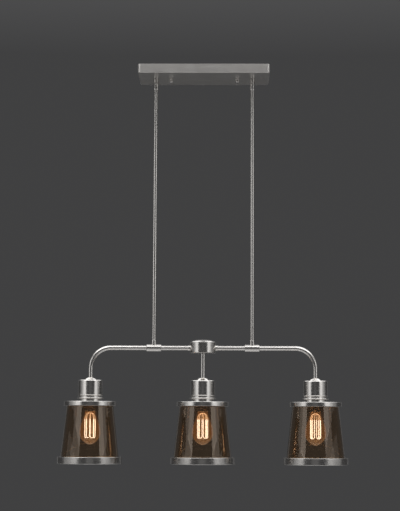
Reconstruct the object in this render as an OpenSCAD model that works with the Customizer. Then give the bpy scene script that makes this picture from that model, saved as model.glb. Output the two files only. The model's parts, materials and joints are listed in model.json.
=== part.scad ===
// Linear three-light chandelier: canopy, two swivel rods, tee bar, hub, bent arms and tapered glass shades.
// Millimetres. The origin is the centre of the ceiling plane, +X runs along the bar and +Z points up.

/* [Canopy] */
// Length of the canopy along the bar
canopy_l = 374; // [330:1:460]
// Width of the canopy across the bar
canopy_w = 152; // [110:1:200]
// Height of the canopy below the ceiling
canopy_h = 26; // [24:0.5:40]
// Sheet thickness of the canopy
canopy_sheet = 1.2; // [0.8:0.1:2]
// Radius of the four upright corners
canopy_corner_r = 8; // [4:0.5:24]
// Bend radius along the lower edges
canopy_edge_r = 2; // [1.6:0.1:3]

/* [Crossbar] */
// Length of the mounting crossbar
crossbar_l = 230; // [210:1:250]
// Width of the mounting crossbar
crossbar_w = 30; // [26:1:40]
// Thickness of the mounting crossbar
crossbar_t = 2; // [1.5:0.1:3]
// Spacing of the outlet box screws
box_screw_spacing = 88.9; // [80:0.1:96]
// End to end length of each outlet box slot
box_slot_l = 20; // [12:0.5:26]
// Width of each outlet box slot
box_slot_w = 4.8; // [4:0.1:6]
// Diameter of the hole for the house wiring
wire_hole_d = 18; // [12:0.5:20]
// Spacing of the two canopy studs
stud_spacing = 190; // [170:1:196]
// Diameter of each canopy stud
stud_d = 4; // [3:0.1:5]
// Length of each canopy stud below the crossbar's top face
stud_l = 34; // [32:0.5:36]
// Thickness of the nut that locks each stud
stud_nut_h = 3.2; // [2.5:0.1:4]
// Diameter of each cap nut
cap_nut_d = 11; // [9:0.1:14]
// Height of each cap nut
cap_nut_h = 10.7; // [10:0.1:14]
// Diameter of the ground screw's shank
ground_d = 4; // [3:0.1:5]
// Distance of the ground screw from the middle
ground_x = 22; // [16:1:26]

/* [Hang-straight swivels] */
// Outer diameter of the swivel collars and sleeves
swivel_d = 13.5; // [13:0.1:16]
// Visible height of the fixed collar
collar_h = 11; // [9:0.5:16]
// Diameter of the swivel ball
ball_d = 9.2; // [8.8:0.1:9.6]
// Diameter of the neck that carries the ball
swivel_neck_d = 5.2; // [4.8:0.1:5.4]
// Diameter of the wire bore through the ball
wire_bore_d = 3.2; // [3:0.1:3.4]
// Length of the moving sleeve below the ball's centre
sleeve_l = 19; // [17:0.5:26]
// Largest tilt of the rods from upright, in degrees
swing_limit = 20; // [10:1:22]
// Diameter of the threaded nipple through the canopy
nipple_d = 9.6; // [9:0.1:11]
// Height of the nipple above the canopy's underside
nipple_up = 12; // [9:0.5:14]
// Height of each swivel nut
swivel_nut_h = 4; // [3:0.5:5]

/* [Rods] */
// Spacing of the two rods
rod_spacing = 277; // [255:1:300]
// Outer diameter of each rod
rod_d = 11; // [10:0.1:11.2]
// Wall of each rod
rod_wall = 1.2; // [0.8:0.1:1.6]
// Drop from the ceiling to the bar's centre line
bar_drop = 801; // [400:1:1600]
// Depth to which a rod seats in its sleeve and in its foot
rod_seat = 9; // [7:0.5:10]
// Outer diameter of each rod foot
rod_foot_d = 13.5; // [13.2:0.1:16]
// Height of each rod foot above the tee
rod_foot_h = 12; // [11:0.5:18]

/* [Bar and arms] */
// Outer diameter of the bar, arm and stem tubes
tube_d = 12.7; // [12:0.1:13.2]
// Wall of those tubes
tube_wall = 1.2; // [0.8:0.1:1.6]
// Spacing of neighbouring shades
shade_spacing = 316; // [300:1:380]
// Centre line radius of each arm's bend
bend_r = 57; // [40:1:64]
// Diameter of each tee sleeve
tee_d = 19.5; // [18.5:0.1:22]
// Length of each tee sleeve
tee_l = 41.5; // [38:0.5:50]
// Depth to which a tube seats in a tee
tee_seat = 15; // [12:0.5:16]
// Diameter of the hub
hub_d = 74; // [66:1:90]
// Height of the hub's upright wall
hub_h = 29.3; // [28:0.1:40]
// Height of the hub's domed cover
hub_dome_h = 8.5; // [6:0.5:14]
// Diameter of the flat in the middle of the hub's cover
hub_flat_d = 26; // [16:1:34]
// Sheet thickness of the hub
hub_sheet = 1.8; // [1.2:0.1:2.4]
// Diameter of the collars where the bar enters the hub
hub_collar_d = 14.8; // [14.2:0.1:18]
// Length of those collars
hub_collar_l = 5.5; // [4:0.5:10]
// Length of the tube that shows inside the hub
hub_reach = 9; // [7:0.5:11]

/* [Socket cups] */
// Drop from the bar's centre line to each cup's shoulder
cup_drop = 91; // [80:1:160]
// Diameter of each socket cup
cup_d = 69; // [66:0.5:74]
// Height of each socket cup
cup_h = 41.5; // [38:0.5:60]
// Sheet thickness of each socket cup
cup_sheet = 1.5; // [1:0.1:2]
// Radius of the cup's shoulder
cup_edge_r = 3.5; // [2.2:0.1:6]
// Diameter of the dome on top of the cup
cup_cap_d = 36; // [28:1:44]
// Height of that dome
cup_cap_h = 8.5; // [6:0.5:12]
// Height of the beaded fitter ring below the cup
fitter_h = 18.5; // [16:0.5:26]
// Diameter over the upper bead
upper_bead_d = 71.5; // [69:0.5:76]
// Diameter over the lower bead
lower_bead_d = 75; // [72:0.5:80]
// Diameter of the fitter ring's neck
fitter_neck_d = 64; // [60:0.5:65]

/* [Shades] */
// Height of a whole shade from its cap to the foot of its lower ring
shade_h = 173.3; // [160:1:200]
// Diameter of the shade cap
shade_cap_d = 147; // [142:0.5:160]
// Height of the shade cap's skirt
shade_cap_h = 12.5; // [8:0.5:20]
// Sheet thickness of the shade's metal
shade_sheet = 1.5; // [1:0.1:2]
// Outer diameter of the glass at its top edge
glass_top_d = 128.4; // [116:0.2:136]
// Outer diameter of the glass at its bottom edge
glass_bottom_d = 163.6; // [150:0.2:168]
// Thickness of the glass
glass_t = 3; // [2:0.1:4]
// Outer diameter of the lower ring
foot_ring_d = 181; // [176:0.5:196]
// Height of the lower ring
foot_ring_h = 18.8; // [12:0.2:28]
// Depth of the ledge below the lower ring's top edge
ledge_down = 3; // [2:0.5:6]

/* [Lamps] */
// Outer diameter of the metal socket sleeve
socket_d = 42; // [40:0.5:46]
// Wall of the socket sleeve
socket_wall = 1; // [0.8:0.1:1.4]
// Length of the socket below the shade cap's top
socket_reach = 27.5; // [22:0.5:34]
// Diameter of each bulb at its widest
bulb_d = 60; // [52:1:64]
// Length of each bulb with its base
bulb_l = 123.5; // [118:0.5:140]
// Height of the filament cage
filament_h = 52; // [40:1:60]
// Diameter of the circle on which the filament strands stand
filament_d = 29; // [20:1:34]
// Thickness of a filament strand
strand_d = 1.8; // [0.6:0.1:2.4]

/* [Fits] */
// Radial clearance of a piece that sits in or on another
fit = 0.05; // [0.02:0.01:0.08]
// Gap between seats that face each other
seat = 0.2; // [0.1:0.05:0.3]

/* [Hidden] */
$fn = 64;
// Overshoot of a cutting shape past the face that it cuts
cut = 1;

// Heights of the canopy and swivels
under_z = -canopy_h;
seat_r = swivel_d / 2 + 0.35;
rim_land = 0.6;
rim_up = sqrt(pow(seat_r, 2) - pow(swivel_d / 2 - rim_land, 2));
rim_z = under_z - collar_h;
pivot_z = rim_z - rim_up;
ball_clear = 0.06;
sleeve_end_z = pivot_z - sleeve_l;
rod_top_z = sleeve_end_z + rod_seat;
swivel_nut_af = 1.5 * nipple_d;
washer_h = 1;

// Heights of the bar and rods
bar_z = -bar_drop;
tee_bore_d = tube_d - 2 * tube_wall;
rod_foot_top_z = bar_z + tee_d / 2 + rod_foot_h;
rod_bottom_z = rod_foot_top_z - rod_seat;
spigot_d = tee_bore_d - 1;
foot_bore_d = spigot_d - 3;
rod_x = rod_spacing / 2;
bar_outer_x = rod_x - tee_l / 2 + tee_seat;
arm_inner_x = rod_x + tee_l / 2 - tee_seat;

// Hub
hub_r = hub_d / 2;
hub_in_r = hub_r - hub_sheet;
hub_top_z = bar_z + hub_h / 2;
hub_bottom_z = bar_z - hub_h / 2;
bar_inner_x = hub_in_r - hub_reach;
tube_nut_af = tube_d + 5;
tube_nut_r = tube_nut_af / 2 / cos(30);
tube_nut_h = 3.5;
stem_top_z = hub_bottom_z + hub_sheet + hub_reach / 2;

// Cups and sockets
cup_z = bar_z - cup_drop;
cup_bottom_z = cup_z - cup_h;
shade_top_z = cup_bottom_z - fitter_h;
socket_bottom_z = shade_top_z - socket_reach;
holder_top_z = cup_z - cup_sheet - tube_nut_h - 8;
holder_neck_h = 12;
holder_neck_d = 30;
holder_seat = 6;
tube_end_z = holder_top_z - holder_seat;
holder_d = socket_d - 2 * socket_wall - 2 * fit;
sleeve_top_z = holder_top_z - holder_neck_h;
flange_h = 2;
shade_nut_h = 6;

// Bulbs, in the proportions of a medium screw base
base_d = 26;
base_h = 22;
tip_h = 4.6;
base_inset = 4;
rib_r = 0.9;
base_in_r = base_d / 2 - rib_r - 0.8;
shell_t = 0.6;
shell_clear = 0.1;
shell_r = base_d / 2 + shell_clear;
base_rim_z = socket_bottom_z + base_inset;
bulb_tip_z = base_rim_z + base_h + tip_h - bulb_l;
contact_z = base_rim_z + base_h + tip_h;
contact_h = 2.4;
pocket_top_z = contact_z + seat + contact_h;
bulb_neck_r = 14.2;
bulb_wall = 0.9;
bulb_glass_l = base_rim_z - bulb_tip_z;
bulb_round_h = bulb_d * 0.53;
bulb_throat_r = 2.6;
support_d = 0.8;
support_root_r = 1.2;
filament_turn = 7.5;
filament_z = bulb_tip_z + bulb_round_h * 0.59;

// Shade
ledge_z = shade_top_z - shade_h + foot_ring_h - ledge_down;
glass_top_z = shade_top_z - shade_sheet - seat;
glass_bottom_z = ledge_z + seat;
foot_ring_z = shade_top_z - shade_h;
bead_w = 2.2;
bead_h = 2.5;

// Wires
wire_d = 2.8;
lead_z = -9;
lead_y = 8;
connector_l = 18;
connector_d = 8;
connector_x = 52;
ground_lead_y = ground_d + wire_d / 2 + 0.1;
ground_lead_z = -crossbar_t - wire_d / 2 - seat;
ground_connector_x = 6;

NICKEL = [0.70, 0.69, 0.67];
STEEL = [0.62, 0.64, 0.66];
BRASS = [0.78, 0.62, 0.32];
CERAMIC = [0.90, 0.89, 0.85];
SMOKE = [0.36, 0.31, 0.26, 0.55];
CLEAR = [0.95, 0.90, 0.80, 0.35];

// A flat washer or plain ring that stands on z = 0
module ring(outer_d, inner_d, h) {
    difference() {
        cylinder(d = outer_d, h = h);
        translate([0, 0, -cut]) cylinder(d = inner_d, h = h + 2 * cut);
    }
}

// A hexagon nut that stands on z = 0
module hex_nut(across_flats, bore_d, h) {
    difference() {
        cylinder(d = across_flats / cos(30), h = h, $fn = 6);
        translate([0, 0, -cut]) cylinder(d = bore_d, h = h + 2 * cut);
    }
}

// A rectangle with round corners, centred
module rounded_rect(l, w, r) {
    square([l - 2 * r, w], center = true);
    square([l, w - 2 * r], center = true);
    for (x = [-1, 1], y = [-1, 1]) {
        translate([x * (l / 2 - r), y * (w / 2 - r)]) circle(r = r);
    }
}

// Half of a turned section with its upper outer corner rounded, from z = 0 to h
module turned_section(r, h, edge_r) {
    square([r - edge_r, h]);
    square([r, h - edge_r]);
    translate([r - edge_r, h - edge_r]) circle(r = edge_r);
}

// A round bar between two points
module strut(a, b, d) {
    v = b - a;
    along = norm(v);
    translate(a) rotate([0, acos(v.z / along), atan2(v.y, v.x)]) cylinder(d = d, h = along);
}

// A quarter bend of wire that starts at a point along +X and ends r further along +X and +Y, before the turn
module wire_bend(at, turn, r) {
    translate(at) rotate(turn) translate([0, r, 0]) rotate(-90)
        rotate_extrude(angle = 90) translate([r, 0]) circle(d = wire_d);
}

// Copies at the two rods
module at_rods() {
    for (side = [-1, 1]) translate([side * rod_x, 0, 0]) children();
}

// Copies at the three lights
module at_lights() {
    for (i = [-1:1]) translate([i * shade_spacing, 0, 0]) children();
}

// The pan's outer block, with its lower edges bent round
module canopy_block() {
    edge_z = under_z + canopy_edge_r;
    hull() {
        for (x = [-1, 1], y = [-1, 1]) {
            translate([x * (canopy_l / 2 - canopy_corner_r), y * (canopy_w / 2 - canopy_corner_r), edge_z]) {
                cylinder(r = canopy_corner_r, h = -edge_z, $fn = 40);
                rotate_extrude($fn = 40)
                    translate([canopy_corner_r - canopy_edge_r, 0]) circle(r = canopy_edge_r, $fn = 20);
            }
        }
    }
}

module canopy() {
    color(NICKEL) difference() {
        canopy_block();
        translate([0, 0, under_z + canopy_sheet])
            linear_extrude(canopy_h + cut)
                rounded_rect(canopy_l - 2 * canopy_sheet, canopy_w - 2 * canopy_sheet,
                             canopy_corner_r - canopy_sheet);
        at_rods() translate([0, 0, under_z - cut])
            cylinder(d = nipple_d + 2 * fit, h = canopy_sheet + 2 * cut);
        for (s = [-1, 1]) translate([s * stud_spacing / 2, 0, under_z - cut])
            cylinder(d = stud_d + 1, h = canopy_sheet + 2 * cut);
    }
}

// The flat strap that the outlet box screws hold
module crossbar() {
    color(STEEL) difference() {
        translate([0, 0, -crossbar_t]) linear_extrude(crossbar_t) rounded_rect(crossbar_l, crossbar_w, 4);
        translate([0, 0, -crossbar_t - cut]) cylinder(d = wire_hole_d, h = crossbar_t + 2 * cut);
        for (s = [-1, 1]) {
            translate([s * box_screw_spacing / 2, 0, -crossbar_t - cut])
                linear_extrude(crossbar_t + 2 * cut) slot_shape(box_slot_l, box_slot_w);
            translate([s * stud_spacing / 2, 0, -crossbar_t - cut])
                cylinder(d = stud_d + 2 * fit, h = crossbar_t + 2 * cut);
        }
        translate([ground_x, 0, -crossbar_t - cut])
            cylinder(d = ground_d + 2 * fit, h = crossbar_t + 2 * cut);
    }
}

// A slot with round ends, along X
module slot_shape(l, w) {
    square([l - w, w], center = true);
    for (s = [-1, 1]) translate([s * (l - w) / 2, 0]) circle(d = w);
}

module mounting_studs() {
    color(STEEL) for (s = [-1, 1]) translate([s * stud_spacing / 2, 0, -stud_l])
        cylinder(d = stud_d, h = stud_l);
}

module stud_lock_nuts() {
    color(STEEL) for (s = [-1, 1]) translate([s * stud_spacing / 2, 0, -crossbar_t - stud_nut_h])
        hex_nut(2 * stud_d, stud_d + 2 * fit, stud_nut_h);
}

// Green pan-head screw for the ground wire
module ground_screw() {
    color([0.16, 0.50, 0.22]) translate([ground_x, 0, -crossbar_t]) {
        cylinder(d = ground_d, h = crossbar_t);
        translate([0, 0, -2.4]) difference() {
            cylinder(d = 2 * ground_d, h = 2.4);
            translate([-ground_d, -0.5, -cut]) cube([2 * ground_d, 1, 1 + cut]);
        }
    }
}

// Knurled cap nut with a round end, hanging below the canopy
module cap_nut() {
    top_z = under_z - seat;
    round_r = 2.5;
    grooves = 20;
    color(NICKEL) difference() {
        translate([0, 0, top_z]) rotate([180, 0, 0])
            rotate_extrude() turned_section(cap_nut_d / 2, cap_nut_h, round_r);
        translate([0, 0, -stud_l - seat]) cylinder(d = stud_d + 2 * fit, h = stud_l);
        for (i = [0:grooves - 1]) rotate(i * 360 / grooves)
            translate([cap_nut_d / 2 + 0.15, 0, top_z - cap_nut_h + round_r])
                cylinder(d = 1, h = cap_nut_h - round_r - 1.5);
    }
}

module cap_nut_left() {
    translate([-stud_spacing / 2, 0, 0]) cap_nut();
}

module cap_nut_right() {
    translate([stud_spacing / 2, 0, 0]) cap_nut();
}

// Fixed half of a swivel: nipple, collar with a hollow seat, neck and ball
module swivel_stud() {
    difference() {
        union() {
            difference() {
                translate([0, 0, rim_z]) cylinder(d = swivel_d, h = collar_h);
                translate([0, 0, pivot_z]) sphere(r = seat_r);
            }
            translate([0, 0, pivot_z]) cylinder(d = swivel_neck_d, h = under_z - pivot_z);
            translate([0, 0, pivot_z]) sphere(d = ball_d);
            translate([0, 0, under_z]) cylinder(d = nipple_d, h = nipple_up);
        }
        translate([0, 0, pivot_z - ball_d]) cylinder(d = wire_bore_d, h = ball_d + canopy_h - pivot_z);
    }
}

module swivel_studs() {
    color(NICKEL) at_rods() swivel_stud();
}

module swivel_washers() {
    color(STEEL) at_rods() translate([0, 0, under_z + canopy_sheet])
        ring(1.6 * nipple_d, nipple_d + 2 * fit, washer_h);
}

module swivel_nuts() {
    color(BRASS) at_rods() translate([0, 0, under_z + canopy_sheet + washer_h])
        hex_nut(swivel_nut_af, nipple_d + 2 * fit, swivel_nut_h);
}

// One lead up through each swivel and along to a connector, and a ground lead from its screw
module supply_leads() {
    start_z = pivot_z - ball_d / 2 + seat;
    r = lead_y / 2;
    step_r = (ground_lead_z - lead_z) / 2;
    color([0.12, 0.12, 0.12]) {
        for (turn = [0, 180]) rotate(turn) {
            translate([-rod_x, 0, start_z]) cylinder(d = wire_d, h = lead_z - r - start_z);
            wire_bend([-rod_x, 0, lead_z - r], [0, -90, 0], r);
            wire_bend([-rod_x, r, lead_z], [180, 0, 90], r);
            translate([r - rod_x, lead_y, lead_z]) rotate([0, 90, 0])
                cylinder(d = wire_d, h = rod_x - r - connector_x);
        }
        rotate(180) translate([0, ground_lead_y, 0]) {
            translate([-ground_x - ground_d, 0, ground_lead_z]) rotate([0, 90, 0])
                cylinder(d = wire_d, h = 2 * ground_d);
            wire_bend([ground_d - ground_x, 0, ground_lead_z], [-90, 0, 0], step_r);
            wire_bend([ground_d - ground_x + step_r, 0, ground_lead_z - step_r], [90, 90, 0], step_r);
            translate([ground_d - ground_x + 2 * step_r, 0, lead_z]) rotate([0, 90, 0])
                cylinder(d = wire_d, h = ground_x - ground_d - 2 * step_r + ground_connector_x);
        }
    }
}

// A twist-on connector: a ribbed cone that lies along +X
module wire_connector() {
    rotate([0, 90, 0]) difference() {
        cylinder(d1 = connector_d, d2 = connector_d * 0.6, h = connector_l);
        for (i = [0:7]) rotate(i * 45) translate([connector_d / 2 + 0.3, 0, 3])
            cylinder(d = 1.4, h = connector_l);
    }
}

module wire_connectors() {
    color([0.80, 0.45, 0.12]) {
        for (turn = [0, 180]) rotate(turn) translate([-connector_x, lead_y, lead_z]) wire_connector();
        rotate(180) translate([ground_connector_x, ground_lead_y, lead_z]) wire_connector();
    }
}

// Moving half of a swivel: a sleeve that wraps the ball and takes the rod
module swivel_sleeve() {
    tilt = swing_limit + 1;
    neck_r = swivel_neck_d / 2 + 0.3;
    end_d = rod_d + 1.4;
    taper_h = 3;
    translate([0, 0, pivot_z]) difference() {
        union() {
            sphere(d = swivel_d);
            translate([0, 0, -sleeve_l + taper_h]) cylinder(d = swivel_d, h = sleeve_l - taper_h);
            translate([0, 0, -sleeve_l]) cylinder(d1 = end_d, d2 = swivel_d, h = taper_h);
        }
        sphere(r = ball_d / 2 + ball_clear);
        cylinder(r1 = neck_r / cos(tilt), r2 = neck_r / cos(tilt) + swivel_d * tan(tilt), h = swivel_d);
        translate([0, 0, -sleeve_l]) cylinder(d = wire_d + 1.6, h = sleeve_l);
        translate([0, 0, -sleeve_l - cut]) cylinder(d = rod_d + 2 * fit, h = rod_seat + cut);
    }
}

module swivel_sleeves() {
    color(NICKEL) at_rods() swivel_sleeve();
}

module rod() {
    color(NICKEL) translate([0, 0, rod_bottom_z])
        ring(rod_d, rod_d - 2 * rod_wall, rod_top_z - rod_bottom_z);
}

module rod_left() {
    translate([-rod_x, 0, 0]) rod();
}

module rod_right() {
    translate([rod_x, 0, 0]) rod();
}

// Collar that takes the rod's lower end, saddled on the tee, with a spigot into it
module rod_foot() {
    difference() {
        union() {
            difference() {
                translate([0, 0, bar_z]) cylinder(d = rod_foot_d, h = tee_d / 2 + rod_foot_h);
                translate([-tee_l, 0, bar_z]) rotate([0, 90, 0])
                    cylinder(d = tee_d + 2 * fit, h = 2 * tee_l);
            }
            translate([0, 0, bar_z + tee_bore_d / 2 + seat])
                cylinder(d = spigot_d, h = tee_d / 2 - tee_bore_d / 2);
        }
        translate([0, 0, bar_z]) cylinder(d = foot_bore_d, h = tee_d + rod_foot_h);
        translate([0, 0, rod_bottom_z]) cylinder(d = rod_d + 2 * fit, h = rod_seat + cut);
    }
}

module rod_feet() {
    color(NICKEL) at_rods() rod_foot();
}

// Tee sleeve: two tube seats, a wire bore and a hole on top for the rod foot
module tee() {
    chamfer = 0.8;
    color(NICKEL) translate([0, 0, bar_z]) difference() {
        rotate([0, 90, 0]) {
            translate([0, 0, -tee_l / 2 + chamfer]) cylinder(d = tee_d, h = tee_l - 2 * chamfer);
            for (s = [0, 180]) rotate([s, 0, 0]) translate([0, 0, tee_l / 2 - chamfer])
                cylinder(d1 = tee_d, d2 = tee_d - 2 * chamfer, h = chamfer);
        }
        translate([-tee_l, 0, 0]) rotate([0, 90, 0]) cylinder(d = tee_bore_d, h = 2 * tee_l);
        for (s = [0, 180]) rotate([0, 0, s]) translate([tee_l / 2 - tee_seat, 0, 0])
            rotate([0, 90, 0]) cylinder(d = tube_d + 2 * fit, h = tee_l);
        cylinder(d = spigot_d + 2 * fit, h = tee_d);
    }
}

module tee_left() {
    translate([-rod_x, 0, 0]) tee();
}

module tee_right() {
    translate([rod_x, 0, 0]) tee();
}

// Straight tube from the tee into the hub
module bar_right() {
    color(NICKEL) translate([bar_inner_x, 0, bar_z]) rotate([0, 90, 0])
        ring(tube_d, tube_d - 2 * tube_wall, bar_outer_x - bar_inner_x);
}

module bar_left() {
    mirror([1, 0, 0]) bar_right();
}

// Solid along the arm's centre line: out from the tee, round the bend and down
module arm_path(d, past) {
    bend_x = shade_spacing - bend_r;
    bend_z = bar_z - bend_r;
    translate([arm_inner_x - past, 0, bar_z]) rotate([0, 90, 0])
        cylinder(d = d, h = bend_x - arm_inner_x + past);
    translate([bend_x, 0, bend_z]) rotate([90, 0, 0])
        rotate_extrude(angle = 90) translate([bend_r, 0]) circle(d = d);
    translate([shade_spacing, 0, tube_end_z - past]) cylinder(d = d, h = bend_z - tube_end_z + past);
}

module arm_right() {
    color(NICKEL) difference() {
        arm_path(tube_d, 0);
        arm_path(tube_d - 2 * tube_wall, cut);
    }
}

module arm_left() {
    mirror([1, 0, 0]) arm_right();
}

module stem_centre() {
    color(NICKEL) translate([0, 0, tube_end_z])
        ring(tube_d, tube_d - 2 * tube_wall, stem_top_z - tube_end_z);
}

// Round hub pan, open at the top
module hub_body() {
    color(NICKEL) difference() {
        translate([0, 0, hub_bottom_z]) cylinder(r = hub_r, h = hub_h);
        translate([0, 0, hub_bottom_z + hub_sheet]) cylinder(r = hub_in_r, h = hub_h);
        translate([0, 0, hub_bottom_z - cut]) cylinder(d = tube_d + 2 * fit, h = hub_sheet + 2 * cut);
        translate([-hub_d, 0, bar_z]) rotate([0, 90, 0]) cylinder(d = tube_d + 2 * fit, h = 2 * hub_d);
    }
}

// Half section of the hub's cover: a flat middle that rounds down to the wall
module dome_section(r, h, flat_r, lip) {
    fall = h - lip;
    arc_r = (pow(r - flat_r, 2) + pow(fall, 2)) / (2 * fall);
    square([flat_r, h]);
    intersection() {
        translate([flat_r, h - arc_r]) circle(r = arc_r, $fn = 128);
        square([r, h]);
    }
}

// Domed cover with a spigot that sits inside the hub's wall
module hub_cover() {
    spigot_h = 4;
    spigot_t = 1.2;
    lip = 0.8;
    color(NICKEL) translate([0, 0, hub_top_z]) {
        difference() {
            rotate_extrude() dome_section(hub_r, hub_dome_h, hub_flat_d / 2, lip);
            translate([0, 0, -cut]) rotate_extrude()
                dome_section(hub_in_r - spigot_t, hub_dome_h - hub_sheet + cut, hub_flat_d / 2, lip);
        }
        translate([0, 0, -spigot_h])
            ring(2 * (hub_in_r - fit), 2 * (hub_in_r - spigot_t), spigot_h + lip / 2);
    }
}

module hub_collars() {
    color(NICKEL) for (s = [0, 180]) rotate([0, 0, s]) difference() {
        translate([0, 0, bar_z]) rotate([0, 90, 0])
            ring(hub_collar_d, tube_d + 2 * fit, hub_r + hub_collar_l);
        translate([0, 0, hub_bottom_z]) cylinder(r = hub_r + fit, h = hub_h);
    }
}

// Nuts on the tube ends: three inside the hub and one inside each cup
module tube_nuts() {
    bore_d = tube_d + 2 * fit;
    nut_x = sqrt(pow(hub_in_r, 2) - pow(tube_nut_r, 2)) - fit;
    color(BRASS) {
        for (s = [0, 180]) rotate([0, 0, s]) translate([nut_x, 0, bar_z])
            rotate([0, -90, 0]) hex_nut(tube_nut_af, bore_d, tube_nut_h);
        translate([0, 0, hub_bottom_z + hub_sheet]) hex_nut(tube_nut_af, bore_d, tube_nut_h);
        at_lights() translate([0, 0, cup_z - cup_sheet - tube_nut_h])
            hex_nut(tube_nut_af, bore_d, tube_nut_h);
    }
}

// Wire bundle from the rods through the bar and arms to the three sockets
module fixture_wires() {
    bend_x = shade_spacing - bend_r;
    bend_z = bar_z - bend_r;
    end_z = pocket_top_z + 3;
    color([0.15, 0.15, 0.15]) {
        translate([-bend_x, 0, bar_z]) rotate([0, 90, 0]) cylinder(d = wire_d, h = 2 * bend_x);
        for (s = [0, 1]) mirror([s, 0, 0]) {
            translate([rod_x, 0, bar_z]) cylinder(d = wire_d, h = pivot_z - ball_d / 2 - 1 - bar_z);
            translate([bend_x, 0, bend_z]) rotate([90, 0, 0])
                rotate_extrude(angle = 90) translate([bend_r, 0]) circle(d = wire_d);
            translate([shade_spacing, 0, end_z]) cylinder(d = wire_d, h = bend_z - end_z);
        }
        translate([0, 0, end_z]) cylinder(d = wire_d, h = bar_z - end_z);
    }
}

// Small domes that cover the cup tops
module cup_caps() {
    r = cup_cap_d / 2;
    arc_r = (pow(r, 2) + pow(cup_cap_h, 2)) / (2 * cup_cap_h);
    color(NICKEL) at_lights() translate([0, 0, cup_z]) rotate_extrude() difference() {
        intersection() {
            translate([0, cup_cap_h - arc_r]) circle(r = arc_r, $fn = 128);
            square([r, cup_cap_h]);
        }
        square([tube_d / 2 + fit, cup_cap_h]);
    }
}

// Spun cup, open at the bottom
module cup() {
    color(NICKEL) translate([0, 0, cup_bottom_z]) difference() {
        rotate_extrude() turned_section(cup_d / 2, cup_h, cup_edge_r);
        translate([0, 0, -cut]) cylinder(d = cup_d - 2 * cup_sheet, h = cup_h - cup_sheet + cut);
        cylinder(d = tube_d + 2 * fit, h = cup_h + cut);
    }
}

module cup_left() {
    translate([-shade_spacing, 0, 0]) cup();
}

module cup_centre() {
    cup();
}

module cup_right() {
    translate([shade_spacing, 0, 0]) cup();
}

// Beaded ring between cup and shade: upper bead, groove, lower bead, neck and bottom flange
module fitter_section() {
    upper_r = 1.3;
    lower_r = 2;
    groove_r = cup_d / 2 - cup_sheet - fit;
    spigot_h = 4;
    bead_z = fitter_h * 0.52;
    neck_r = fitter_neck_d / 2;
    wall = 2;
    difference() {
        union() {
            square([neck_r, fitter_h]);
            translate([0, bead_z]) square([groove_r, fitter_h - bead_z + spigot_h]);
            translate([0, fitter_h - 2 * upper_r]) square([upper_bead_d / 2 - upper_r, 2 * upper_r]);
            translate([upper_bead_d / 2 - upper_r, fitter_h - upper_r]) circle(r = upper_r);
            translate([0, bead_z - lower_r]) square([lower_bead_d / 2 - lower_r, 2 * lower_r]);
            translate([lower_bead_d / 2 - lower_r, bead_z]) circle(r = lower_r);
        }
        translate([0, flange_h]) square([neck_r - wall, fitter_h + spigot_h]);
        translate([0, -cut]) square([socket_d / 2 + fit, fitter_h]);
    }
}

module fitter_rings() {
    color(NICKEL) at_lights() translate([0, 0, shade_top_z]) rotate_extrude() fitter_section();
}

// Nickel sleeve round the lampholder, which the shade nut screws onto
module socket_sleeves() {
    color(NICKEL) at_lights() translate([0, 0, socket_bottom_z])
        ring(socket_d, socket_d - 2 * socket_wall, sleeve_top_z - socket_bottom_z);
}

// Ceramic core with a seat for the tube, a wire hole and the lamp's pocket
module lampholder() {
    pocket_r = shell_r + shell_t + fit;
    color(CERAMIC) difference() {
        union() {
            translate([0, 0, socket_bottom_z]) cylinder(d = holder_d, h = sleeve_top_z - socket_bottom_z);
            translate([0, 0, sleeve_top_z]) cylinder(d = holder_neck_d, h = holder_neck_h);
        }
        translate([0, 0, tube_end_z]) cylinder(d = tube_d + 2 * fit, h = holder_seat + cut);
        translate([0, 0, socket_bottom_z])
            cylinder(d = wire_d + 2 * fit, h = holder_top_z - socket_bottom_z);
        translate([0, 0, socket_bottom_z - cut]) {
            cylinder(r = pocket_r, h = pocket_top_z - socket_bottom_z + cut);
            cylinder(r = pocket_r + 2, h = base_inset + 0.3 + cut);
        }
    }
}

module lampholder_left() {
    translate([-shade_spacing, 0, 0]) lampholder();
}

module lampholder_centre() {
    lampholder();
}

module lampholder_right() {
    translate([shade_spacing, 0, 0]) lampholder();
}

// Thin brass shells that take the bulbs' screw bases
module screw_shells() {
    lift = 0.5;
    color(BRASS) at_lights() translate([0, 0, base_rim_z + lift])
        ring(2 * (shell_r + shell_t), 2 * shell_r, base_h - lift);
}

// Brass discs with a bent tongue at the top of each pocket
module centre_contacts() {
    color(BRASS) at_lights() translate([0, 0, pocket_top_z]) {
        translate([0, 0, -0.8]) cylinder(r = 6, h = 0.8);
        translate([0, 0, -contact_h]) cylinder(r1 = 2.5, r2 = 4, h = contact_h);
    }
}

// Notched rings that clamp the shades from below
module shade_nuts() {
    notches = 18;
    outer_r = socket_d / 2 + 6;
    color(NICKEL) at_lights() translate([0, 0, shade_top_z - shade_sheet - shade_nut_h]) difference() {
        ring(2 * outer_r, socket_d + 2 * fit, shade_nut_h);
        for (i = [0:notches - 1]) rotate(i * 360 / notches)
            translate([outer_r + 0.6, 0, -cut]) cylinder(r = 1.6, h = shade_nut_h + 2 * cut);
    }
}

// Spun shade cap: a flat disc with a skirt
module shade_cap() {
    color(NICKEL) translate([0, 0, shade_top_z - shade_cap_h]) difference() {
        rotate_extrude() turned_section(shade_cap_d / 2, shade_cap_h, shade_sheet);
        translate([0, 0, -cut])
            cylinder(d = shade_cap_d - 2 * shade_sheet, h = shade_cap_h - shade_sheet + cut);
        cylinder(d = socket_d + 2 * fit, h = shade_cap_h + cut);
    }
}

module shade_cap_left() {
    translate([-shade_spacing, 0, 0]) shade_cap();
}

module shade_cap_centre() {
    shade_cap();
}

module shade_cap_right() {
    translate([shade_spacing, 0, 0]) shade_cap();
}

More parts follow.
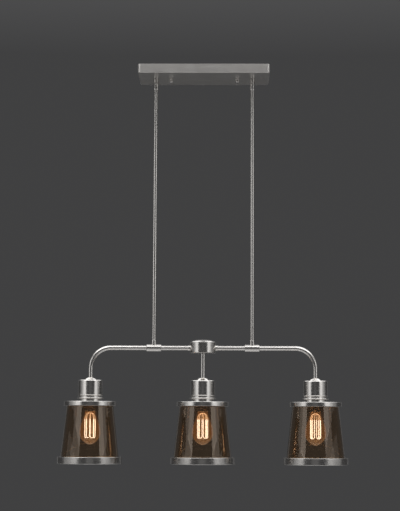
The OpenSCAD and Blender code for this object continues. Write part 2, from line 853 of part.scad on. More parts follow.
// Tapered smoked glass, open at both ends
module shade_glass() {
    top_r = glass_top_d / 2;
    bottom_r = glass_bottom_d / 2;
    color(SMOKE) rotate_extrude($fn = 96) polygon([
        [top_r - glass_t, glass_top_z], [top_r, glass_top_z],
        [bottom_r, glass_bottom_z], [bottom_r - glass_t, glass_bottom_z]
    ]);
}

module shade_glass_left() {
    translate([-shade_spacing, 0, 0]) shade_glass();
}

module shade_glass_centre() {
    shade_glass();
}

module shade_glass_right() {
    translate([shade_spacing, 0, 0]) shade_glass();
}

// Lower ring: a band with rolled edges and an inner ledge that the glass stands on
module foot_ring() {
    edge_r = shade_sheet * 0.7;
    band_r = foot_ring_d / 2 - edge_r;
    ledge_r = glass_bottom_d / 2 - glass_t - 0.5;
    color(NICKEL) translate([0, 0, foot_ring_z]) rotate_extrude($fn = 96) {
        translate([band_r - edge_r, edge_r]) square([2 * edge_r, foot_ring_h - 2 * edge_r]);
        translate([band_r, edge_r]) circle(r = edge_r);
        translate([band_r, foot_ring_h - edge_r]) circle(r = edge_r);
        translate([ledge_r, foot_ring_h - ledge_down - shade_sheet])
            square([band_r - ledge_r, shade_sheet]);
    }
}

module foot_ring_left() {
    translate([-shade_spacing, 0, 0]) foot_ring();
}

module foot_ring_centre() {
    foot_ring();
}

module foot_ring_right() {
    translate([shade_spacing, 0, 0]) foot_ring();
}

// Radius of the glass's outer face at height z
function glass_r(z) = let (t = (glass_top_z - z) / (glass_top_z - glass_bottom_z))
    glass_top_d / 2 * (1 - t) + glass_bottom_d / 2 * t;

// Beads of clear sealant that hold the glass in the cap and in the lower ring
module glass_seals() {
    cap_under_z = shade_top_z - shade_sheet;
    color([0.85, 0.86, 0.86]) at_lights() rotate_extrude() {
        polygon([
            [glass_r(cap_under_z) + fit, cap_under_z],
            [glass_r(cap_under_z) + bead_w, cap_under_z],
            [glass_r(cap_under_z - bead_h) + fit, cap_under_z - bead_h]
        ]);
        polygon([
            [glass_r(ledge_z) + fit, ledge_z],
            [glass_r(ledge_z) + bead_w, ledge_z],
            [glass_r(ledge_z + bead_h) + fit, ledge_z + bead_h]
        ]);
    }
}

// Screw base: ribbed brass shell, black insulator and solder tip
module bulb_base() {
    pitch = 3.63;
    ribs = floor((base_h - 6) / pitch);
    core_r = base_d / 2 - rib_r;
    color([0.80, 0.76, 0.66]) translate([0, 0, base_rim_z]) difference() {
        union() {
            cylinder(r = core_r, h = base_h);
            cylinder(r = base_d / 2, h = 3);
            for (i = [1:ribs]) translate([0, 0, 2 + i * pitch])
                rotate_extrude() translate([core_r, 0]) circle(r = rib_r);
            translate([0, 0, base_h]) cylinder(r1 = core_r - 1, r2 = 5, h = tip_h * 0.6);
            translate([0, 0, base_h]) cylinder(r = 4, h = tip_h);
        }
        translate([0, 0, -cut]) cylinder(r = base_in_r, h = base_h - 1 + cut);
    }
}

// Radius of the bulb at a depth below its base rim, for a skin that lies inset from the outer face
function bulb_r(d, inset) = let (
        widest = bulb_glass_l - bulb_round_h,
        rise = min(max((d - 4) / (widest - 4), 0), 1),
        drop = min(max(d - widest, 0) / (bulb_round_h - inset), 1)
    )
    (d <= widest ? bulb_neck_r + (bulb_d / 2 - bulb_neck_r) * (1 - cos(180 * pow(rise, 0.85))) / 2 - inset
                 : (bulb_d / 2 - inset) * pow(1 - pow(drop, 1.8), 0.62));

// Points of the bulb's profile from its neck to its tip
function bulb_profile(inset) = let (steps = 26, l = bulb_glass_l - inset) [
    for (i = [0:steps]) let (d = max(l * sin(90 * i / steps), inset)) [i == steps ? 0 : bulb_r(d, inset), -d]
];

// Clear envelope: a thin shell that follows the radius above, with its neck inside the base
module bulb_glass() {
    collar = base_in_r - fit;
    stub_z = base_h / 2 - bulb_wall;
    inner = bulb_profile(bulb_wall);
    neck = [[collar - bulb_wall, -bulb_wall], [collar - bulb_wall, stub_z], [collar, stub_z], [collar, 0]];
    color(CLEAR) translate([0, 0, base_rim_z - seat])
        rotate_extrude() polygon(concat(bulb_profile(0), [for (i = [len(inner) - 1:-1:0]) inner[i]], neck));
}

// Hairpin filaments on wire supports, carried by a glass stem from the base
module bulb_filament() {
    hairpins = 4;
    turn = 180 / hairpins;
    leg_r = filament_d / 2;
    top_z = filament_z + filament_h;
    stem_z = base_rim_z - 10;
    cross_d = strand_d * 0.8;
    disc_z = base_rim_z + base_h / 2;
    color([1.0, 0.72, 0.36]) {
        translate([0, 0, stem_z]) cylinder(r1 = bulb_throat_r, r2 = 5, h = disc_z + 0.5 - stem_z);
        translate([0, 0, disc_z]) cylinder(r = base_in_r - fit, h = 1);
        for (i = [0:2 * hairpins - 1]) rotate(i * turn + filament_turn) {
            strut([support_root_r, 0, stem_z + 3], [leg_r, 0, top_z - strand_d], support_d);
            translate([leg_r, 0, filament_z - strand_d / 2]) cylinder(d = strand_d, h = filament_h);
        }
        for (i = [0:hairpins - 1]) rotate(2 * i * turn + filament_turn)
            strut([leg_r, 0, filament_z], [leg_r * cos(turn), leg_r * sin(turn), filament_z], cross_d);
    }
}

module bulb_base_left() {
    translate([-shade_spacing, 0, 0]) bulb_base();
}

module bulb_glass_left() {
    translate([-shade_spacing, 0, 0]) bulb_glass();
}

module bulb_filament_left() {
    translate([-shade_spacing, 0, 0]) bulb_filament();
}

module bulb_base_centre() {
    bulb_base();
}

module bulb_glass_centre() {
    bulb_glass();
}

module bulb_filament_centre() {
    bulb_filament();
}

module bulb_base_right() {
    translate([shade_spacing, 0, 0]) bulb_base();
}

module bulb_glass_right() {
    translate([shade_spacing, 0, 0]) bulb_glass();
}

module bulb_filament_right() {
    translate([shade_spacing, 0, 0]) bulb_filament();
}

canopy();
crossbar();
mounting_studs();
stud_lock_nuts();
ground_screw();
swivel_studs();
swivel_nuts();
swivel_washers();
supply_leads();
wire_connectors();
cap_nut_left();
cap_nut_right();
swivel_sleeves();
rod_left();
rod_right();
rod_feet();
tee_left();
tee_right();
bar_left();
bar_right();
arm_left();
arm_right();
stem_centre();
hub_body();
hub_cover();
hub_collars();
tube_nuts();
fixture_wires();
cup_caps();
cup_left();
cup_centre();
cup_right();
fitter_rings();
socket_sleeves();
lampholder_left();
lampholder_centre();
lampholder_right();
screw_shells();
centre_contacts();
shade_nuts();
shade_cap_left();
shade_cap_centre();
shade_cap_right();
shade_glass_left();
shade_glass_centre();
shade_glass_right();
foot_ring_left();
foot_ring_centre();
foot_ring_right();
glass_seals();
bulb_base_left();
bulb_glass_left();
bulb_filament_left();
bulb_base_centre();
bulb_glass_centre();
bulb_filament_centre();
bulb_base_right();
bulb_glass_right();
bulb_filament_right();
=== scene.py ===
"""Looks of a linear three-light chandelier: finely turned metal, smoked glass, lit bulbs and a pale studio.

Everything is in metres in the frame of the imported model: the ceiling plane is z = 0, +X runs along the bar.
"""

import json
import math

import bmesh
import bpy
from mathutils import Matrix, Vector


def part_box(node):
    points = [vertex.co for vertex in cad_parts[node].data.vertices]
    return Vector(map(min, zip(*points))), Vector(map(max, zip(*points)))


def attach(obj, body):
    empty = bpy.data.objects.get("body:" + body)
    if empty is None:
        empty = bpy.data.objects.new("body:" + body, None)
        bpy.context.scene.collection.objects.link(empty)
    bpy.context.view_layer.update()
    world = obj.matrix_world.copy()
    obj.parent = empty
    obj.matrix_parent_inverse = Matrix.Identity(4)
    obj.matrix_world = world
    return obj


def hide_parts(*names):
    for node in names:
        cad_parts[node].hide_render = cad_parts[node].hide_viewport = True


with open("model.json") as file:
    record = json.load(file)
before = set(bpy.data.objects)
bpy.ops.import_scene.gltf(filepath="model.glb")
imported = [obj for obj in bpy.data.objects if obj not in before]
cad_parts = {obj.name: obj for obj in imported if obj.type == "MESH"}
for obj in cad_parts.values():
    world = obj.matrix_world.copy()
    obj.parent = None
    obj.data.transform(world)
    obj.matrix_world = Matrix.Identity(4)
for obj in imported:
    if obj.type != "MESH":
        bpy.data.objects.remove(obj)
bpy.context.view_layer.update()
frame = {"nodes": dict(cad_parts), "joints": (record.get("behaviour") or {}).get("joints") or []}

# Driving sizes that the frame's boxes don't give
FIT = 0.00005
SEAT = 0.0002
CANOPY_SHEET = 0.0012
CANOPY_CORNER_R = 0.008
CANOPY_EDGE_R = 0.002
TUBE_WALL = 0.0012
HUB_SHEET = 0.0018
HUB_FLAT_R = 0.013
HUB_LIP = 0.0008
CUP_SHEET = 0.0015
CUP_EDGE_R = 0.0035
SHADE_SHEET = 0.0015
GLASS_T = 0.003
GLASS_TAPER = 0.0176
NIPPLE_R = 0.0048
SWIVEL_NECK_R = 0.0026
SWIVEL_BALL_R = 0.0046
SWIVEL_LAND = 0.0006
SWIVEL_TILT = math.radians(21)
SWIVEL_SEAT_GAP = 0.00035
WIRE_BORE_R = 0.0016
BEND_R = 0.057
BULB_WALL = 0.0009
THREAD_PITCH = 0.00363
STRAND_R = 0.0009
FILAMENT_CAGE_R = 0.0145
SOFT_EDGE = 0.0004
SHADE_GUARD = 0.0002

SIDES = ("left", "centre", "right")

# Studio
FLOOR_Z, FLOOR_R = -2.4, 5.5
# The floor's colour darkens from FLOOR_PALE in the middle to painted shade at the rim, between these radii.
FLOOR_FADE = (0.3, 4.8)
FLOOR_PALE, FLOOR_PAINTED_SHADE = (0.78, 0.78, 0.78), (0.13, 0.13, 0.13)
ROOM_GREY, ROOM_PALE = (0.052, 0.052, 0.053), (0.42, 0.42, 0.425)
LIT_POINT = Vector((0, 0, -0.75))
LAMP_DISTANCE = 3.2
# Tall lamps at the sides begin at an azimuth and overlap, so that their light fades to the back.
SIDE_EDGE = 41
SIDE_LAYERS = (("core", 23, 0.64), ("body", 38, 0.36), ("field", 58, 0.22))
SIDE_TIERS = (("low", -1.2, 0.46), ("upper", 14, 1.0))
# Other lamps on both sides: azimuth, elevation, width, height and radiance. seam covers the gap between
# the two tiers, foot lights the rings from below, shoulder the upper edges, high the top faces.
PAIRED_LAMPS = (
    ("seam", 57, 4.1, 1.85, 0.13, 0.48),
    ("foot", 70, -12.6, 3.0, 0.9, 0.2),
    ("shoulder", 72, 43, 3.0, 1.1, 0.85),
    ("back", 150, 0, 0.6, 2.4, 0.12),
    ("high", 40, 52, 2.6, 1.8, 2.2),
    ("high_back", 135, 48, 2.6, 1.8, 1.4),
)
# Lamps in the middle: elevation, distance, width, height and radiance
MIDDLE_LAMPS = (
    ("front_fill", 28, 3.4, 2.0, 0.7, 0.1),
    ("front_low", -7.5, 3.4, 1.5, 0.7, 0.1),
    ("overhead", 88, 2.6, 3.0, 2.0, 0.8),
)


def middle(node):
    """Centre of a node's box."""
    low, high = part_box(node)
    return (low + high) / 2


LIGHT_X = {side: middle("cup_" + side).x for side in SIDES}
ROD_X = [middle("rod_left").x, middle("rod_right").x]
BAR_Z = middle("bar_left").z
TUBE_R = (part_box("bar_left")[1].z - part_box("bar_left")[0].z) / 2
SWIVEL_PIVOT_Z = next(j for j in frame["joints"] if j["name"] == "fixture_swing")["pos_m"][2]


# Outlines


def rounded(corners, steps=5):
    """Closed outline through corners (r, z, fillet radius), with each corner turned into an arc."""
    points = []
    for i, (r, z, radius) in enumerate(corners):
        here = Vector((r, z))
        to_last = Vector(corners[i - 1][:2]) - here
        to_next = Vector(corners[(i + 1) % len(corners)][:2]) - here
        half = to_last.angle(to_next) / 2
        reach = min(radius / math.tan(half), 0.49 * to_last.length, 0.49 * to_next.length)
        if reach < 1e-7:
            points.append((r, z))
            continue
        radius = reach * math.tan(half)
        bisector = (to_last.normalized() + to_next.normalized()).normalized()
        centre = here + bisector * (radius / math.sin(half))
        start = here + to_last.normalized() * reach - centre
        end = here + to_next.normalized() * reach - centre
        first = math.atan2(start.y, start.x)
        turn = math.atan2(end.y, end.x) - first
        turn -= 2 * math.pi * round(turn / (2 * math.pi))
        for k in range(steps + 1):
            angle = first + turn * k / steps
            points.append((centre.x + radius * math.cos(angle), centre.y + radius * math.sin(angle)))
    return points


def arc(centre_r, centre_z, radius, start, end, steps=12):
    """Points on a circle from a start to an end angle, in degrees."""
    angles = [math.radians(start + (end - start) * k / steps) for k in range(steps + 1)]
    return [(centre_r + radius * math.cos(a), centre_z + radius * math.sin(a)) for a in angles]


def band(inner_r, outer_r, low_z, high_z, edge=SOFT_EDGE):
    """Outline of a ring or tube with soft edges."""
    return rounded([
        (inner_r, low_z, edge), (outer_r, low_z, edge), (outer_r, high_z, edge), (inner_r, high_z, edge),
    ])


def refine(outline, step):
    """The same closed outline with more points along its straight runs."""
    points = []
    for i, (r, z) in enumerate(outline):
        nr, nz = outline[(i + 1) % len(outline)]
        count = max(1, math.ceil(math.hypot(nr - r, nz - z) / step))
        points += [(r + (nr - r) * k / count, z + (nz - z) * k / count) for k in range(count)]
    return points


def guarded(outline):
    """The same outline with a point close to both ends of each long run, so that long faces shade flat."""
    points = []
    for i, (r, z) in enumerate(outline):
        points.append((r, z))
        nr, nz = outline[(i + 1) % len(outline)]
        length = math.hypot(nr - r, nz - z)
        if length > 10 * SHADE_GUARD:
            for share in (SHADE_GUARD / length, 1 - SHADE_GUARD / length):
                points.append((r + (nr - r) * share, z + (nz - z) * share))
    return points


# Meshes


def finish_mesh(name, bm, material, body, nodes=(), sharp=32):
    """Turns a bmesh into a shaded piece that rides on a body and may stand for CAD nodes."""
    bmesh.ops.remove_doubles(bm, verts=bm.verts, dist=1e-6)
    bmesh.ops.recalc_face_normals(bm, faces=bm.faces)
    mesh = bpy.data.meshes.new(name)
    bm.to_mesh(mesh)
    bm.free()
    mesh.shade_smooth()
    mesh.set_sharp_from_angle(angle=math.radians(sharp))
    mesh.materials.append(material)
    piece = bpy.data.objects.new(name, mesh)
    bpy.context.scene.collection.objects.link(piece)
    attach(piece, body)
    if nodes:
        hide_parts(*nodes)


def join_rings(bm, rings, closed):
    """Faces between neighbouring rings of vertices."""
    last = len(rings) if closed else len(rings) - 1
    for i in range(last):
        a, b = rings[i], rings[(i + 1) % len(rings)]
        for k in range(len(a)):
            n = (k + 1) % len(a)
            bm.faces.new((a[k], a[n], b[n], b[k]))


def lathe(bm, outline, centre=(0, 0, 0), axis="Z", segments=96, warp=None):
    """Turns a closed outline of (radius, height) about an axis through centre.

    warp(r, h, angle) gives the radius at a height and angle.
    """
    rings = []
    for r, h in guarded(outline):
        ring = []
        for k in range(segments):
            angle = 2 * math.pi * k / segments
            radius = warp(r, h, angle) if warp else r
            across, along = radius * math.cos(angle), radius * math.sin(angle)
            offset = (across, along, h) if axis == "Z" else (h, across, along)
            ring.append(bm.verts.new(Vector(centre) + Vector(offset)))
        rings.append(ring)
    join_rings(bm, rings, closed=True)
    return bm


def tube(bm, path, radius, sides=24, capped=True):
    """Sweeps a circle along a list of points, turning its frame as little as it can."""
    points = [Vector(p) for p in path]
    rings = []
    normal = None
    for i, point in enumerate(points):
        tangent = (points[min(i + 1, len(points) - 1)] - points[max(i - 1, 0)]).normalized()
        if normal is None:
            normal = tangent.orthogonal()
        normal = (normal - tangent * normal.dot(tangent)).normalized()
        other = tangent.cross(normal)
        ring = []
        for k in range(sides):
            angle = 2 * math.pi * k / sides
            ring.append(bm.verts.new(point + (normal * math.cos(angle) + other * math.sin(angle)) * radius))
        rings.append(ring)
    join_rings(bm, rings, closed=False)
    if capped:
        bm.faces.new(rings[0])
        bm.faces.new(rings[-1])
    return rings


def notch(count, outer_r, centre_r, notch_r):
    """Warp that presses round notches into the outermost radius of a turned piece."""
    skin = 0.0012

    def warp(r, h, angle):
        if r < outer_r - skin:
            return r
        offset = (angle + math.pi / count) % (2 * math.pi / count) - math.pi / count
        aside = centre_r * math.sin(offset)
        if abs(aside) >= notch_r:
            return r
        return min(r, centre_r * math.cos(offset) - math.sqrt(notch_r ** 2 - aside ** 2))
    return warp


# Materials


def node_tree(name):
    """A new material, its nodes, links and Principled shader."""
    material = bpy.data.materials.new(name)
    material.use_nodes = True
    nodes, links = material.node_tree.nodes, material.node_tree.links
    return material, nodes, links, nodes["Principled BSDF"]


def noise(nodes, links, scale, stretch=(1, 1, 1), detail=4.0):
    """Noise in the frame's own coordinates, stretched along an axis for grain."""
    place = nodes.new("ShaderNodeTexCoord")
    mapping = nodes.new("ShaderNodeMapping")
    mapping.inputs["Scale"].default_value = stretch
    texture = nodes.new("ShaderNodeTexNoise")
    texture.inputs["Scale"].default_value = scale
    texture.inputs["Detail"].default_value = detail
    links.new(place.outputs["Object"], mapping.inputs["Vector"])
    links.new(mapping.outputs["Vector"], texture.inputs["Vector"])
    return texture.outputs["Fac"]


def spread(nodes, links, value, low, high, start=0.3, end=0.7):
    """A value mapped to a range."""
    node = nodes.new("ShaderNodeMapRange")
    node.inputs["From Min"].default_value = start
    node.inputs["From Max"].default_value = end
    node.inputs["To Min"].default_value = low
    node.inputs["To Max"].default_value = high
    links.new(value, node.inputs["Value"])
    return node.outputs["Result"]


def two_tone(nodes, links, value, first, second, start=0.35, end=0.65):
    """A colour ramp between two colours."""
    ramp = nodes.new("ShaderNodeValToRGB")
    ramp.color_ramp.elements[0].position = start
    ramp.color_ramp.elements[0].color = (*first, 1)
    ramp.color_ramp.elements[1].position = end
    ramp.color_ramp.elements[1].color = (*second, 1)
    links.new(value, ramp.inputs["Fac"])
    return ramp.outputs["Color"]


def bump(nodes, links, shader, height, strength, distance):
    """Fine relief from a height value."""
    node = nodes.new("ShaderNodeBump")
    node.inputs["Strength"].default_value = strength
    node.inputs["Distance"].default_value = distance
    links.new(height, node.inputs["Height"])
    links.new(node.outputs["Normal"], shader.inputs["Normal"])


def metal(name, dark, light, grain, rough, relief=0.03):
    """Brushed or plated metal: grain stretches the fine noise, rough is a range of roughness."""
    material, nodes, links, shader = node_tree(name)
    fine = noise(nodes, links, 1.0, grain, detail=3.0)
    broad = noise(nodes, links, 28.0)
    shader.inputs["Metallic"].default_value = 1.0
    links.new(two_tone(nodes, links, broad, dark, light), shader.inputs["Base Color"])
    links.new(spread(nodes, links, fine, rough[0], rough[1]), shader.inputs["Roughness"])
    bump(nodes, links, shader, fine, relief, 0.00005)
    return material


def plastic(name, dark, light, rough, grain_scale=900.0, relief=0.15, coat=0.0):
    """Moulded, painted or glazed surface with a faint grain."""
    material, nodes, links, shader = node_tree(name)
    fine = noise(nodes, links, grain_scale)
    broad = noise(nodes, links, 40.0)
    links.new(two_tone(nodes, links, broad, dark, light), shader.inputs["Base Color"])
    links.new(spread(nodes, links, fine, rough[0], rough[1]), shader.inputs["Roughness"])
    shader.inputs["Coat Weight"].default_value = coat
    bump(nodes, links, shader, fine, relief, 0.0001)
    return material


def glass(name, clear, tinted, rough, streaks, ior=1.52, mirrored=0.5, sheen=(1.0, 1.0, 1.0), painted_glow=None):
    """Blown or moulded glass whose tint drifts a little. mirrored and sheen set how much it mirrors and in
    which colour. painted_glow is painted glow: a faint emission on the glass, which is no lamp, standing in
    for the lit bulb's warm light."""
    material, nodes, links, shader = node_tree(name)
    drift = noise(nodes, links, 1.0, streaks)
    shader.inputs["Transmission Weight"].default_value = 1.0
    shader.inputs["IOR"].default_value = ior
    shader.inputs["Specular IOR Level"].default_value = mirrored
    shader.inputs["Specular Tint"].default_value = (*sheen, 1)
    links.new(two_tone(nodes, links, drift, clear, tinted), shader.inputs["Base Color"])
    links.new(spread(nodes, links, drift, rough[0], rough[1]), shader.inputs["Roughness"])
    bump(nodes, links, shader, drift, 0.05, 0.0001)
    # Painted glow: emission on the glass itself, standing in for light from the lit filament.
    if painted_glow:
        shader.inputs["Emission Color"].default_value = (*painted_glow[0], 1)
        shader.inputs["Emission Strength"].default_value = painted_glow[1]
    return material


def lit(name, cool, hot, strength):
    """Emission on wire, a little brighter in some places than in others: the lit filament's own light, and
    painted glow on the support wires, which are no lamp.
    """
    material, nodes, links, shader = node_tree(name)
    drift = noise(nodes, links, 260.0)
    links.new(two_tone(nodes, links, drift, cool, hot), shader.inputs["Emission Color"])
    shader.inputs["Emission Strength"].default_value = strength
    shader.inputs["Base Color"].default_value = (*hot, 1)
    shader.inputs["Roughness"].default_value = 0.6
    return material


NICKEL_DARK, NICKEL_LIGHT = (0.625, 0.605, 0.58), (0.665, 0.645, 0.62)
TURNED = (60, 60, 2600)
DRAWN_UP = (1600, 1600, 25)
DRAWN_ALONG = (25, 1600, 1600)
turned_nickel = metal("turned_nickel", NICKEL_DARK, NICKEL_LIGHT, TURNED, (0.20, 0.25))
rod_nickel = metal("rod_nickel", NICKEL_DARK, NICKEL_LIGHT, DRAWN_UP, (0.22, 0.24), relief=0.01)
bar_nickel = metal("bar_nickel", NICKEL_DARK, NICKEL_LIGHT, DRAWN_ALONG, (0.22, 0.24), relief=0.01)
sheet_nickel = metal("sheet_nickel", NICKEL_DARK, NICKEL_LIGHT, DRAWN_ALONG, (0.30, 0.38), relief=0.15)
zinc = metal("zinc", (0.50, 0.52, 0.53), (0.62, 0.63, 0.64), (400, 400, 400), (0.28, 0.45))
brass = metal("brass", (0.66, 0.48, 0.20), (0.80, 0.62, 0.30), TURNED, (0.22, 0.38))
base_metal = metal("base_metal", (0.72, 0.66, 0.54), (0.82, 0.77, 0.66), TURNED, (0.18, 0.32))
ceramic = plastic("ceramic", (0.80, 0.79, 0.74), (0.88, 0.87, 0.83), (0.12, 0.22), coat=0.4)
insulator = plastic("insulator", (0.015, 0.014, 0.018), (0.03, 0.028, 0.03), (0.1, 0.2))
wire_black = plastic("wire_black", (0.025, 0.025, 0.026), (0.05, 0.05, 0.05), (0.35, 0.5))
connector_orange = plastic("connector_orange", (0.62, 0.22, 0.03), (0.74, 0.30, 0.06), (0.35, 0.5))
green_paint = plastic("green_paint", (0.03, 0.22, 0.06), (0.06, 0.30, 0.10), (0.3, 0.45))
sealant = plastic("sealant", (0.72, 0.73, 0.73), (0.80, 0.81, 0.81), (0.3, 0.45), grain_scale=300.0)
smoked_glass = glass("smoked_glass", (0.75, 0.61, 0.47), (0.71, 0.57, 0.43), (0.0, 0.03), (50, 50, 9),
                     ior=1.8, mirrored=1.0, sheen=(1.0, 0.84, 0.70))
# The amber bulb glass carries a faint painted glow: warm emission standing in for the filament's light in the
# glass.
amber_glass = glass("amber_glass", (0.98, 0.91, 0.78), (0.97, 0.87, 0.71), (0.0, 0.02), (30, 30, 30),
                    mirrored=1.0, sheen=(1.0, 0.86, 0.68), painted_glow=((1.0, 0.45, 0.16), 0.035))
stem_glass = glass("stem_glass", (0.95, 0.93, 0.88), (0.92, 0.88, 0.80), (0.02, 0.08), (90, 90, 90))
# Painted glow: the support wires are no lamp; their emission stands in for the filament's light falling on
# them.
support_painted_glow = lit("support_painted_glow", (1.0, 0.66, 0.50), (1.0, 0.78, 0.60), 1.7)
filament_glow = lit("filament_glow", (1.0, 0.93, 0.94), (1.0, 0.97, 1.0), 2.6)


def paint(node, material):
    """Gives a CAD node that stays on show its material."""
    slots = frame["nodes"][node].data.materials
    slots.clear()
    slots.append(material)


# Canopy and what it holds


def outline_loop(bm, half_l, half_w, corner_r, z, steps=14):
    """Ring of vertices round a rectangle with round corners."""
    points = []
    for quarter, (sx, sy) in enumerate(((1, 1), (-1, 1), (-1, -1), (1, -1))):
        for k in range(steps + 1):
            angle = math.pi / 2 * (quarter + k / steps)
            x = sx * (half_l - corner_r) + corner_r * math.cos(angle)
            y = sy * (half_w - corner_r) + corner_r * math.sin(angle)
            points.append((x, y))
    return [bm.verts.new((x, y, z)) for x, y in guarded(points)]


def make_canopy():
    """The pan: walls, a bent lower edge, the underside and the inside."""
    low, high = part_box("canopy")
    half_l, half_w = high.x, high.y
    bm = bmesh.new()
    inner_l, inner_w, inner_r = half_l - CANOPY_SHEET, half_w - CANOPY_SHEET, CANOPY_CORNER_R - CANOPY_SHEET
    bend_z = low.z + CANOPY_EDGE_R
    loops = [
        outline_loop(bm, inner_l, inner_w, inner_r, low.z + CANOPY_SHEET),
        outline_loop(bm, inner_l, inner_w, inner_r, high.z),
        outline_loop(bm, half_l, half_w, CANOPY_CORNER_R, high.z),
        outline_loop(bm, half_l, half_w, CANOPY_CORNER_R, bend_z + SHADE_GUARD),
    ]
    bend_steps = 8
    for k in range(bend_steps + 1):
        angle = math.pi / 2 * k / bend_steps
        inset = CANOPY_EDGE_R * (1 - math.cos(angle))
        z = bend_z - CANOPY_EDGE_R * math.sin(angle)
        loops.append(outline_loop(bm, half_l - inset, half_w - inset, CANOPY_CORNER_R - inset, z))
    inset = CANOPY_EDGE_R + SHADE_GUARD
    loops.append(outline_loop(bm, half_l - inset, half_w - inset, CANOPY_CORNER_R - inset, low.z))
    join_rings(bm, loops, closed=False)
    bm.faces.new(loops[0])
    bm.faces.new(loops[-1])
    finish_mesh("canopy_pan", bm, sheet_nickel, "canopy", ["canopy"])


def make_cap_nuts():
    """Knurled cap nuts with a round end."""
    for side in ("left", "right"):
        node = "cap_nut_" + side
        low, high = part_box(node)
        radius = (high.x - low.x) / 2
        end_r, plain = 0.0025, 0.0015
        knurls, knurl_r, step = 20, 0.0005, 0.0008
        profile = rounded([
            (0, high.z, 0), (0, low.z, 0), (radius, low.z, end_r), (radius, high.z, SOFT_EDGE),
        ])
        press = notch(knurls, radius, radius, knurl_r)

        def knurl(r, h, angle, top=high.z - plain, bottom=low.z + end_r, press=press):
            return press(r, h, angle) if bottom <= h <= top else r

        bm = lathe(bmesh.new(), refine(profile, step), (middle(node).x, 0, 0), segments=240, warp=knurl)
        finish_mesh(node + "_turned", bm, turned_nickel, node, [node])


def make_swivels():
    """Fixed studs with their hollow seat, neck and ball, and the sleeves that wrap the ball."""
    stud_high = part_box("swivel_studs")[1]
    sleeve_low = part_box("swivel_sleeves")[0]
    radius = stud_high.x - ROD_X[1]
    seat_r = radius + SWIVEL_SEAT_GAP
    under_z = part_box("canopy")[0].z
    pivot = SWIVEL_PIVOT_Z
    rim_angle = math.degrees(math.acos((radius - SWIVEL_LAND) / seat_r))
    neck_angle = math.degrees(math.acos(SWIVEL_NECK_R / seat_r))
    ball_top = math.degrees(math.acos(SWIVEL_NECK_R / SWIVEL_BALL_R))
    ball_end = -math.degrees(math.acos(WIRE_BORE_R / SWIVEL_BALL_R))
    rim_z = pivot + math.sqrt(seat_r ** 2 - (radius - SWIVEL_LAND) ** 2)
    stud = [(WIRE_BORE_R, stud_high.z), (NIPPLE_R, stud_high.z), (NIPPLE_R, under_z)]
    stud += arc(radius - SOFT_EDGE, under_z - SOFT_EDGE, SOFT_EDGE, 90, 0, 4)
    stud += arc(radius - SOFT_EDGE / 2, rim_z + SOFT_EDGE / 2, SOFT_EDGE / 2, 0, -90, 3)
    stud += arc(0, pivot, seat_r, rim_angle, neck_angle, 16)
    stud += arc(0, pivot, SWIVEL_BALL_R, ball_top, ball_end, 24)

    neck_play, ball_play = 0.0003, 0.00006
    cavity_r = SWIVEL_BALL_R + ball_play
    open_r = (SWIVEL_NECK_R + neck_play) / math.cos(SWIVEL_TILT)
    slope = math.tan(SWIVEL_TILT)

    def mouth_angle(ball_r):
        """Angle at which a sphere about the pivot meets the sleeve's flared mouth."""
        steep = 1 + slope ** 2
        height = (-open_r * slope + math.sqrt(ball_r ** 2 * steep - open_r ** 2)) / steep
        return math.degrees(math.asin(height / ball_r))

    passage_r, end_wall, taper_h = 0.0022, 0.00065, 0.003
    rod_r = (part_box("rod_left")[1].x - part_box("rod_left")[0].x) / 2 + FIT
    end_r = rod_r + end_wall
    rod_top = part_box("rod_left")[1].z
    cavity_start = -math.degrees(math.acos(passage_r / cavity_r))
    sleeve = arc(0, pivot, radius, mouth_angle(radius), 0, 20)
    sleeve += [(radius, sleeve_low.z + taper_h), (end_r, sleeve_low.z + SOFT_EDGE / 2)]
    sleeve += [(end_r - SOFT_EDGE / 2, sleeve_low.z)]
    sleeve += [(rod_r, sleeve_low.z), (rod_r, rod_top), (passage_r, rod_top)]
    sleeve += arc(0, pivot, cavity_r, cavity_start, mouth_angle(cavity_r), 20)
    for name, profile, body, node in (
        ("swivel_seats", stud, "canopy", "swivel_studs"),
        ("swivel_caps", sleeve, "fixture", "swivel_sleeves"),
    ):
        bm = bmesh.new()
        for x in ROD_X:
            lathe(bm, profile, (x, 0, 0))
        finish_mesh(name, bm, turned_nickel, body, [node])


# Rods, bar, arms and hub


def make_rods():
    """Drawn tubes with soft ends."""
    for side, x in zip(("left", "right"), ROD_X):
        low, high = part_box("rod_" + side)
        radius = (high.x - low.x) / 2
        bm = lathe(bmesh.new(), band(radius - TUBE_WALL, radius, low.z, high.z), (x, 0, 0))
        finish_mesh("rod_%s_drawn" % side, bm, rod_nickel, "fixture", ["rod_" + side])


